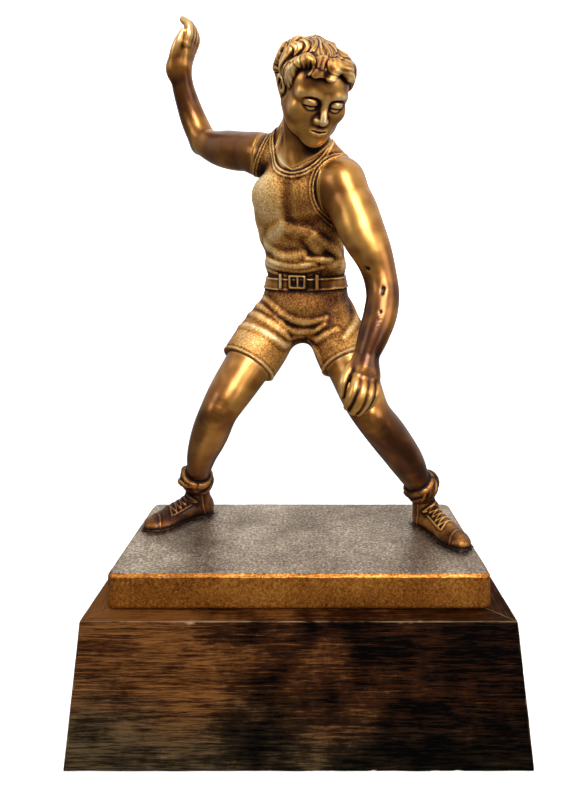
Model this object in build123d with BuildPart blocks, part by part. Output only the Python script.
"""A bowling trophy: a cast bronze athlete on a hollow cast slab, screwed to a tapered, mitred wooden box.

Row frame: millimetres, +Z up, origin at the centre of the underside, -Y is the front.
The athlete's right side is at -X. Every casting ends on a flat joint face that meets its neighbour's.
"""

import os

from build123d import *

# --- Driving dimensions -------------------------------------------------------------------------------

FELT_T = 1.0
FELT_INSET = 2.5

BASE_BOTTOM = (217.0, 133.0)
BASE_TOP = (200.0, 110.0)
BASE_TOP_Z = 70.0
BOARD_T = 12.0
TOP_PANEL_T = 10.0
BOTTOM_PANEL_T = 4.0
GLUE_BLOCK_LEG = 14.0

SLAB_BOTTOM = (183.0, 93.0)
SLAB_TOP = (180.0, 90.0)
SLAB_T = 18.0
SLAB_CORNER_R = 5.0
SLAB_WALL = 4.0
SLAB_FOOT_CHAMFER = 1.8
BOSS_R = 4.5
BOSS_SPACING = (152.0, 60.0)

SLAB_SCREW_R = 2.0
SLAB_SCREW_GRIP = 9.0
SLAB_SCREW_HEAD = (4.0, 2.6)
SLAB_WASHER = (5.0, 1.0)
PANEL_SCREW_R = 1.5
PANEL_SCREW_L = 14.0
PANEL_SCREW_HEAD_R = 3.0
PANEL_SCREW_HEAD_T = 1.6
PANEL_SCREW_INSET = 4.5

STUD_R = 1.5
STUD_RISE = 9.0
STUD_DROP = 10.0
FOOT_WASHER = (3.5, 0.8)
FOOT_NUT_T = 2.4
FOOT_NUT_FLATS = 5.5

FIT = 0.1
DOWEL_R = 1.5
DOWEL_DEPTH = 6.0
CASTING_WALL = 3.5

# Joints of the athlete, named for the athlete's own left and right.
NECK = (1, -8, 278)
CROWN = (5, -22, 308.5)
BROW = (8.5, -29.5, 304)
CHIN = (7, -26, 286.5)
RIGHT_SHOULDER = (-18, 9, 282.5)
RIGHT_ELBOW = (-52, 37, 296)
RIGHT_WRIST = (-61.5, 30, 327)
RIGHT_KNUCKLES = (-58.5, 30, 339)
RIGHT_FINGERTIP = (-58, 30.5, 350.8)
LEFT_SHOULDER = (19, -19, 264.5)
LEFT_ELBOW = (37, -29, 224)
LEFT_WRIST = (29.5, -40.5, 187)
LEFT_KNUCKLES = (28.5, -44, 179)
LEFT_FINGERTIP = (25, -47.5, 167)
RIGHT_HIP = (-10, 15, 205)
RIGHT_KNEE = (-40, -13, 159)
RIGHT_ANKLE = (-59, 20, 112)
RIGHT_HEEL = (-58, 27, 92)
RIGHT_TOE = (-83, 5, 91)
LEFT_HIP = (15, 13, 205)
LEFT_KNEE = (35, -17, 158)
LEFT_ANKLE = (66, 6, 112)
LEFT_HEEL = (69, 11, 92)
LEFT_TOE = (83, -19, 91)

# Where the head looks and which way its top points; the face is laid out from its middle.
HEAD_MIDDLE = (6.5, -25.5, 302.6)
HEAD_FRONT = Vector(0.31, -0.73, -0.6).normalized()
HEAD_UP = Vector(0.236, -0.556, 0.798).normalized()

# The line of each hand's knuckles, from the thumb's side, and the thickness of its fingers.
RIGHT_HAND_ACROSS = Vector(0.25, 0.97, 0)
LEFT_HAND_ACROSS = Vector(0.93, -0.3, 0.2)
FINGER_PITCH = 2.8
FINGER_RADII = [2.4, 2.3, 1.7]

RIGHT_STUD = (-60, 24)
LEFT_STUD = (71, 7)

# Trunk sections from the seat to the neck: centre, half width, half depth, and how far the trunk is
# turned there, with the athlete's left side brought forward.
TRUNK = [
    ((2.5, 15, 191), 15, 13, 8),
    ((2.5, 15, 205), 23.5, 18, 8),
    ((3, 12.5, 217), 22, 16.5, 10),
    ((3, 9, 228), 20, 14.5, 14),
    ((1.5, 4.5, 241), 20.5, 14.5, 18),
    ((0, -1.5, 257), 23.5, 15, 24),
    ((0, -5, 269), 21, 13, 30),
    (NECK, 9, 9, 32),
]
# The hollow inside the trunk reaches from the waist to the chest, as these sections of the list above.
HOLLOW = slice(2, 7)

RIGHT_HEM_REACH = 0.54
LEFT_HEM_REACH = 0.5
SHORTS_HIP_R = 16.5
SHORTS_HEM_R = 14.0

BELT_CENTRE = (3, 10.6, 218.7)
BELT_TURN = 11
BELT_UP = (0, -0.1, 1)
BELT_SIZE = (22.8, 17.3)
BELT_W = 5.6
BUCKLE = (8.6, 6.6)
BUCKLE_REACH = 18.4

SLAB_BOTTOM_Z = BASE_TOP_Z
SLAB_TOP_Z = BASE_TOP_Z + SLAB_T
SLAB_ROOF_Z = SLAB_TOP_Z - SLAB_WALL


# --- Shared geometry ----------------------------------------------------------------------------------


def between(start, end, share):
    """The point that lies the given share of the way from start to end."""
    return Vector(*start) + (Vector(*end) - Vector(*start)) * share


def facing(start, end, share=0.0):
    """A plane across the line from start to end, with its normal towards end."""
    return Plane(origin=between(start, end, share), z_dir=Vector(*end) - Vector(*start))


def spindle(start, end, radii):
    """Adds a round limb with these radii spread evenly from start to end, and ball ends."""
    axis = Vector(*end) - Vector(*start)
    side = axis.cross(Vector(0.3, 0.2, 1) if abs(axis.Z) < 0.9 * axis.length else Vector(0.2, 1, 0))
    steps = len(radii) - 1
    waypoints = [(axis.length * i / steps, radius) for i, radius in enumerate(radii)]
    with BuildSketch(Plane(origin=start, x_dir=axis, z_dir=side)) as profile:
        with BuildLine():
            CenterArc((0, 0), radii[0], 180, -90)
            Spline(*waypoints, tangents=[(1, 0), (1, 0)])
            CenterArc((axis.length, 0), radii[-1], 90, -90)
            Line((-radii[0], 0), (axis.length + radii[-1], 0))
        make_face()
    revolve(profile.sketch, axis=Axis(start, axis))


def drill(face, depth):
    """Cuts a dowel hole of this depth to each side of a joint face, through whatever part is there."""
    with BuildSketch(face) as mouth:
        Circle(DOWEL_R)
    extrude(mouth.sketch, amount=depth, both=True, mode=Mode.SUBTRACT)


def dowel(face):
    """A plain pin that lies half each side of a joint face."""
    with BuildPart() as pin:
        with BuildSketch(face):
            Circle(DOWEL_R - FIT / 2)
        extrude(amount=DOWEL_DEPTH - FIT, both=True)
    return pin.part


def rectangle_at(z):
    """Length and width of the wooden box at height z."""
    share = (z - FELT_T) / (BASE_TOP_Z - FELT_T)
    return [low + (high - low) * share for low, high in zip(BASE_BOTTOM, BASE_TOP)]


def inside_at(z):
    """Length and width of the space between the boards at height z."""
    return [side - 2 * BOARD_T for side in rectangle_at(z)]


def corners_at(size):
    """The four corners of a centred rectangle, counter-clockwise from the front left."""
    x, y = size[0] / 2, size[1] / 2
    return [(-x, -y), (x, -y), (x, y), (-x, y)]


def save(part, name):
    part.label = name
    export_step(part, f"parts/{name}.step")


os.makedirs("parts", exist_ok=True)

# --- Joint faces --------------------------------------------------------------------------------------

NECK_FACE = facing(NECK, CROWN, 0.02)
RIGHT_ARM_FACE = Plane(origin=(-18, 8, 282), z_dir=(-0.85, 0.45, 0.2))
LEFT_ARM_FACE = Plane(origin=(13, -17, 266), z_dir=(0.86, -0.44, -0.1))
RIGHT_HEM_FACE = facing(RIGHT_HIP, RIGHT_KNEE, RIGHT_HEM_REACH)
LEFT_HEM_FACE = facing(LEFT_HIP, LEFT_KNEE, LEFT_HEM_REACH)


# --- Wooden box ---------------------------------------------------------------------------------------


def side_board(first):
    """One mitred board, from the corner with this number to the next."""
    with BuildPart() as board:
        for z in (FELT_T, BASE_TOP_Z):
            outer = corners_at(rectangle_at(z))
            inner = corners_at(inside_at(z))
            following = (first + 1) % 4
            with BuildSketch(Plane.XY.offset(z)):
                with BuildLine():
                    Polyline(outer[first], outer[following], inner[following], inner[first], close=True)
                make_face()
        loft(ruled=True)
    return board.part


for number, name in enumerate(("front_board", "right_board", "back_board", "left_board")):
    save(side_board(number), name)

with BuildPart() as top_panel:
    for z in (BASE_TOP_Z - TOP_PANEL_T, BASE_TOP_Z):
        with BuildSketch(Plane.XY.offset(z)):
            Rectangle(*inside_at(z))
    loft(ruled=True)
    with Locations((0, 0, BASE_TOP_Z)):
        with GridLocations(*BOSS_SPACING, 2, 2):
            Hole(SLAB_SCREW_R + 0.25)
save(top_panel.part, "top_panel")

block_bottom_z = FELT_T + BOTTOM_PANEL_T
block_top_z = BASE_TOP_Z - TOP_PANEL_T
pilot_z = block_bottom_z + PANEL_SCREW_L - BOTTOM_PANEL_T
screw_spacing = [side - 2 * PANEL_SCREW_INSET for side in inside_at(block_bottom_z)]

with BuildPart() as glue_blocks:
    for turn_x, turn_y in ((-1, -1), (1, -1), (1, 1), (-1, 1)):
        faces = []
        for z in (block_bottom_z, block_top_z):
            x, y = (side / 2 for side in inside_at(z))
            with BuildSketch(Plane.XY.offset(z)) as triangle:
                with BuildLine():
                    Polyline(
                        (turn_x * x, turn_y * y),
                        (turn_x * (x - GLUE_BLOCK_LEG), turn_y * y),
                        (turn_x * x, turn_y * (y - GLUE_BLOCK_LEG)),
                        close=True,
                    )
                make_face()
            faces.append(triangle.sketch)
        loft(faces, ruled=True)
    with Locations((0, 0, block_bottom_z)):
        with GridLocations(*screw_spacing, 2, 2):
            Cylinder(
                PANEL_SCREW_R + FIT / 2,
                pilot_z - block_bottom_z,
                align=(Align.CENTER, Align.CENTER, Align.MIN),
                mode=Mode.SUBTRACT,
            )
save(glue_blocks.part, "glue_blocks")

with BuildPart() as bottom_panel:
    for z in (FELT_T, block_bottom_z):
        with BuildSketch(Plane.XY.offset(z)):
            Rectangle(*inside_at(z))
    loft(ruled=True)
    with Locations(Location((0, 0, FELT_T), (180, 0, 0))):
        with GridLocations(*screw_spacing, 2, 2):
            CounterSinkHole(PANEL_SCREW_R + FIT / 2, PANEL_SCREW_HEAD_R + FIT)
save(bottom_panel.part, "bottom_panel")

with BuildPart() as bottom_panel_screws:
    with BuildSketch(Plane.XZ) as screw_profile:
        with BuildLine():
            Polyline(
                (0, FELT_T),
                (PANEL_SCREW_HEAD_R, FELT_T),
                (PANEL_SCREW_R, FELT_T + PANEL_SCREW_HEAD_R - PANEL_SCREW_R),
                (PANEL_SCREW_R, pilot_z - 2),
                (0, pilot_z - 0.5),
                close=True,
            )
        make_face()
    screw = revolve(screw_profile.sketch, axis=Axis.Z, mode=Mode.PRIVATE)
    with GridLocations(*screw_spacing, 2, 2):
        add(screw)
save(bottom_panel_screws.part, "bottom_panel_screws")

with BuildPart() as felt_pad:
    with BuildSketch():
        RectangleRounded(*(side - 2 * FELT_INSET for side in BASE_BOTTOM), 3)
    extrude(amount=FELT_T)
save(felt_pad.part, "felt_pad")

# --- Cast slab and what fixes it ----------------------------------------------------------------------

with BuildPart() as cast_slab:
    for z, size in ((SLAB_BOTTOM_Z, SLAB_BOTTOM), (SLAB_TOP_Z, SLAB_TOP)):
        with BuildSketch(Plane.XY.offset(z)):
            RectangleRounded(*size, SLAB_CORNER_R)
    loft(ruled=True)
    chamfer(cast_slab.faces().sort_by(Axis.Z)[0].edges(), SLAB_FOOT_CHAMFER)
    with BuildSketch(Plane.XY.offset(SLAB_BOTTOM_Z)):
        Rectangle(*(side - 2 * SLAB_WALL for side in SLAB_TOP))
        with GridLocations(*BOSS_SPACING, 2, 2):
            Circle(BOSS_R, mode=Mode.SUBTRACT)
    extrude(amount=SLAB_T - SLAB_WALL, mode=Mode.SUBTRACT)
    with BuildSketch(Plane.XY.offset(SLAB_BOTTOM_Z)):
        with GridLocations(*BOSS_SPACING, 2, 2):
            Circle(SLAB_SCREW_R + FIT / 2)
    extrude(amount=SLAB_SCREW_GRIP + 1, mode=Mode.SUBTRACT)
    with BuildSketch(Plane.XY.offset(SLAB_ROOF_Z)):
        with Locations(RIGHT_STUD, LEFT_STUD):
            Circle(STUD_R + FIT)
    extrude(amount=SLAB_WALL, mode=Mode.SUBTRACT)
save(cast_slab.part, "cast_slab")

washer_z = BASE_TOP_Z - TOP_PANEL_T - SLAB_WASHER[1]
with BuildPart() as slab_screw_washers:
    with BuildSketch(Plane.XY.offset(washer_z)):
        with GridLocations(*BOSS_SPACING, 2, 2):
            Circle(SLAB_WASHER[0])
            Circle(SLAB_SCREW_R + FIT, mode=Mode.SUBTRACT)
    extrude(amount=SLAB_WASHER[1])
save(slab_screw_washers.part, "slab_screw_washers")

with BuildPart() as slab_screws:
    with GridLocations(*BOSS_SPACING, 2, 2):
        with Locations((0, 0, washer_z)):
            Cylinder(SLAB_SCREW_HEAD[0], SLAB_SCREW_HEAD[1], align=(Align.CENTER, Align.CENTER, Align.MAX))
            Cylinder(
                SLAB_SCREW_R,
                SLAB_BOTTOM_Z + SLAB_SCREW_GRIP - washer_z,
                align=(Align.CENTER, Align.CENTER, Align.MIN),
            )
    with GridLocations(*BOSS_SPACING, 2, 2):
        with Locations((0, 0, washer_z - SLAB_SCREW_HEAD[1])):
            Box(1.2, 6.0, 1.2, align=(Align.CENTER, Align.CENTER, Align.MIN), mode=Mode.SUBTRACT)
save(slab_screws.part, "slab_screws")


# --- Feet fixings -------------------------------------------------------------------------------------


def foot_stud(place):
    """A threaded rod from the shoe down through the slab's roof."""
    with BuildPart() as stud:
        with BuildSketch(Plane.XY.offset(SLAB_TOP_Z - STUD_DROP)):
            with Locations(place):
                Circle(STUD_R)
        extrude(amount=STUD_DROP + STUD_RISE - FIT)
        chamfer(stud.edges().filter_by(GeomType.CIRCLE), 0.3)
    return stud.part


save(foot_stud(RIGHT_STUD), "right_foot_stud")
save(foot_stud(LEFT_STUD), "left_foot_stud")

with BuildPart() as foot_washers:
    with BuildSketch(Plane.XY.offset(SLAB_ROOF_Z - FOOT_WASHER[1])):
        with Locations(RIGHT_STUD, LEFT_STUD):
            Circle(FOOT_WASHER[0])
            Circle(STUD_R + FIT, mode=Mode.SUBTRACT)
    extrude(amount=FOOT_WASHER[1])
save(foot_washers.part, "foot_washers")

with BuildPart() as foot_nuts:
    with BuildSketch(Plane.XY.offset(SLAB_ROOF_Z - FOOT_WASHER[1] - FOOT_NUT_T)):
        with Locations(RIGHT_STUD, LEFT_STUD):
            RegularPolygon(FOOT_NUT_FLATS / 2, 6, major_radius=False)
            Circle(STUD_R + FIT / 2, mode=Mode.SUBTRACT)
    extrude(amount=FOOT_NUT_T)
save(foot_nuts.part, "foot_nuts")


# --- Trunk --------------------------------------------------------------------------------------------


def trunk_sections(shrink):
    """The trunk's oval sections, made smaller all round by shrink."""
    ovals = []
    for index, (centre, half_width, half_depth, turn) in enumerate(TRUNK):
        above = TRUNK[min(index + 1, len(TRUNK) - 1)][0]
        below = TRUNK[max(index - 1, 0)][0]
        across = Vector(1, 0, 0).rotate(Axis.Z, -turn)
        with BuildSketch(Plane(origin=centre, x_dir=across, z_dir=Vector(*above) - Vector(*below))) as oval:
            Ellipse(half_width - shrink, half_depth - shrink)
        ovals.append(oval.sketch)
    return ovals


outer_sections = trunk_sections(0)
hollow_sections = trunk_sections(CASTING_WALL)[HOLLOW]
belt_across = Vector(1, 0, 0).rotate(Axis.Z, -BELT_TURN)
belt_front = belt_across.cross(Vector(*BELT_UP))
belt_middle = Vector(*BELT_CENTRE) + Vector(*BELT_UP) * (BELT_W / 2)
buckle_middle = belt_middle + belt_front.normalized() * BUCKLE_REACH
hem_sides = [(RIGHT_HIP, RIGHT_KNEE, RIGHT_HEM_REACH), (LEFT_HIP, LEFT_KNEE, LEFT_HEM_REACH)]

with BuildPart() as trunk_casting:
    loft(outer_sections)
    spindle(RIGHT_SHOULDER, between(RIGHT_SHOULDER, NECK, 0.55), [9.5, 9.0])
    spindle(LEFT_SHOULDER, between(LEFT_SHOULDER, NECK, 0.45), [10.0, 9.5])
    for face in (RIGHT_ARM_FACE, LEFT_ARM_FACE, NECK_FACE):
        split(bisect_by=face, keep=Keep.BOTTOM)
    for hip, knee, hem_reach in hem_sides:
        leg_radii = [SHORTS_HIP_R, SHORTS_HEM_R + 1, SHORTS_HEM_R - 0.5]
        spindle(hip, between(hip, knee, hem_reach + 0.15), leg_radii)
    for face in (RIGHT_HEM_FACE, LEFT_HEM_FACE):
        split(bisect_by=face, keep=Keep.BOTTOM)
    with BuildSketch(Plane(origin=BELT_CENTRE, x_dir=belt_across, z_dir=BELT_UP)):
        Ellipse(*BELT_SIZE)
    extrude(amount=BELT_W)
    with BuildSketch(Plane(origin=buckle_middle, x_dir=belt_across, z_dir=belt_front)):
        Rectangle(*BUCKLE)
    extrude(amount=-BUCKLE_REACH / 2)
    loft(hollow_sections, mode=Mode.SUBTRACT)
    drill(NECK_FACE, DOWEL_DEPTH + 6)
    for face in (RIGHT_ARM_FACE, LEFT_ARM_FACE, RIGHT_HEM_FACE, LEFT_HEM_FACE):
        drill(face, DOWEL_DEPTH)
save(trunk_casting.part, "trunk_casting")

# --- Head ---------------------------------------------------------------------------------------------


def on_head(left, front, up):
    """A point this far from the middle of the head, along the head's own directions."""
    head_left = HEAD_UP.cross(HEAD_FRONT)
    return Vector(*HEAD_MIDDLE) + head_left * left + HEAD_FRONT * front + HEAD_UP * up


with BuildPart() as head_casting:
    spindle(NECK, CROWN, [9.5, 8.5, 9.5])
    spindle(CROWN, BROW, [14.2, 13.8])
    spindle(BROW, CHIN, [13.2, 11, 6.4])
    spindle(on_head(0, 13.8, 1.5), on_head(0, 17.2, -6.2), [1.3, 2.1])
    for side in (-1, 1):
        spindle(on_head(side * 12.6, -2.0, 0), on_head(side * 12.0, -1.2, -6.5), [1.9, 2.3, 1.5])
    split(bisect_by=NECK_FACE, keep=Keep.TOP)
    drill(NECK_FACE, DOWEL_DEPTH)
save(head_casting.part, "head_casting")


# --- Arms ---------------------------------------------------------------------------------------------


def hand(wrist, knuckles, fingertip, across):
    """A palm with four fingers side by side and a thumb."""
    spindle(wrist, knuckles, [4.6, 5.6, 4.8])
    for place in (-1.5, -0.5, 0.5, 1.5):
        aside = across * (place * FINGER_PITCH)
        spindle(Vector(*knuckles) + aside, Vector(*fingertip) + aside * 0.9, FINGER_RADII)
    thumb_side = across * -5.2
    thumb_root = between(wrist, knuckles, 0.3) + thumb_side * 0.5
    thumb_tip = between(knuckles, fingertip, 0.25) + thumb_side
    spindle(thumb_root, thumb_tip, [2.6, 1.8])


with BuildPart() as right_arm_casting:
    spindle(between(RIGHT_SHOULDER, RIGHT_ELBOW, -0.15), RIGHT_ELBOW, [9, 9, 8, 7.2, 6.5])
    split(bisect_by=RIGHT_ARM_FACE, keep=Keep.TOP)
    spindle(RIGHT_ELBOW, RIGHT_WRIST, [6.5, 7.2, 6.2, 5, 4.4])
    hand(RIGHT_WRIST, RIGHT_KNUCKLES, RIGHT_FINGERTIP, RIGHT_HAND_ACROSS)
    drill(RIGHT_ARM_FACE, DOWEL_DEPTH)
save(right_arm_casting.part, "right_arm_casting")

with BuildPart() as left_arm_casting:
    spindle(LEFT_SHOULDER, LEFT_ELBOW, [10.5, 10, 9, 8, 6.8])
    split(bisect_by=LEFT_ARM_FACE, keep=Keep.TOP)
    spindle(LEFT_ELBOW, LEFT_WRIST, [6.8, 7.6, 6.6, 5.2, 4.6])
    hand(LEFT_WRIST, LEFT_KNUCKLES, LEFT_FINGERTIP, LEFT_HAND_ACROSS)
    drill(LEFT_ARM_FACE, DOWEL_DEPTH)
save(left_arm_casting.part, "left_arm_casting")


# --- Legs ---------------------------------------------------------------------------------------------


def leg(hip, knee, ankle, heel, toe, hem_reach, stud):
    """A bare leg from the shorts' hem down, with its rolled sock and shoe."""
    hem_face = facing(hip, knee, hem_reach)
    with BuildPart() as casting:
        spindle(between(hip, knee, hem_reach - 0.1), knee, [12.6, 11.8, 10.2, 8.8])
        spindle(knee, ankle, [8.8, 9.6, 9.2, 7.2, 5.6])
        spindle(ankle, heel, [7.2, 6.2])
        spindle(heel, toe, [6.0, 7.0, 6.5, 4.0])
        spindle(between(ankle, knee, -0.03), between(ankle, knee, 0.08), [8.6, 8.6])
        split(bisect_by=hem_face, keep=Keep.TOP)
        split(bisect_by=Plane.XY.offset(SLAB_TOP_Z), keep=Keep.TOP)
        drill(hem_face, DOWEL_DEPTH)
        with BuildSketch(Plane.XY.offset(SLAB_TOP_Z)):
            with Locations(stud):
                Circle(STUD_R + FIT / 2)
        extrude(amount=STUD_RISE, mode=Mode.SUBTRACT)
    return casting.part


save(
    leg(RIGHT_HIP, RIGHT_KNEE, RIGHT_ANKLE, RIGHT_HEEL, RIGHT_TOE, RIGHT_HEM_REACH, RIGHT_STUD),
    "right_leg_casting",
)
save(
    leg(LEFT_HIP, LEFT_KNEE, LEFT_ANKLE, LEFT_HEEL, LEFT_TOE, LEFT_HEM_REACH, LEFT_STUD),
    "left_leg_casting",
)

# --- Dowels that hold the castings in line ------------------------------------------------------------

save(dowel(NECK_FACE), "neck_dowel")
save(dowel(RIGHT_ARM_FACE), "right_shoulder_dowel")
save(dowel(LEFT_ARM_FACE), "left_shoulder_dowel")
save(dowel(RIGHT_HEM_FACE), "right_hip_dowel")
save(dowel(LEFT_HEM_FACE), "left_hip_dowel")
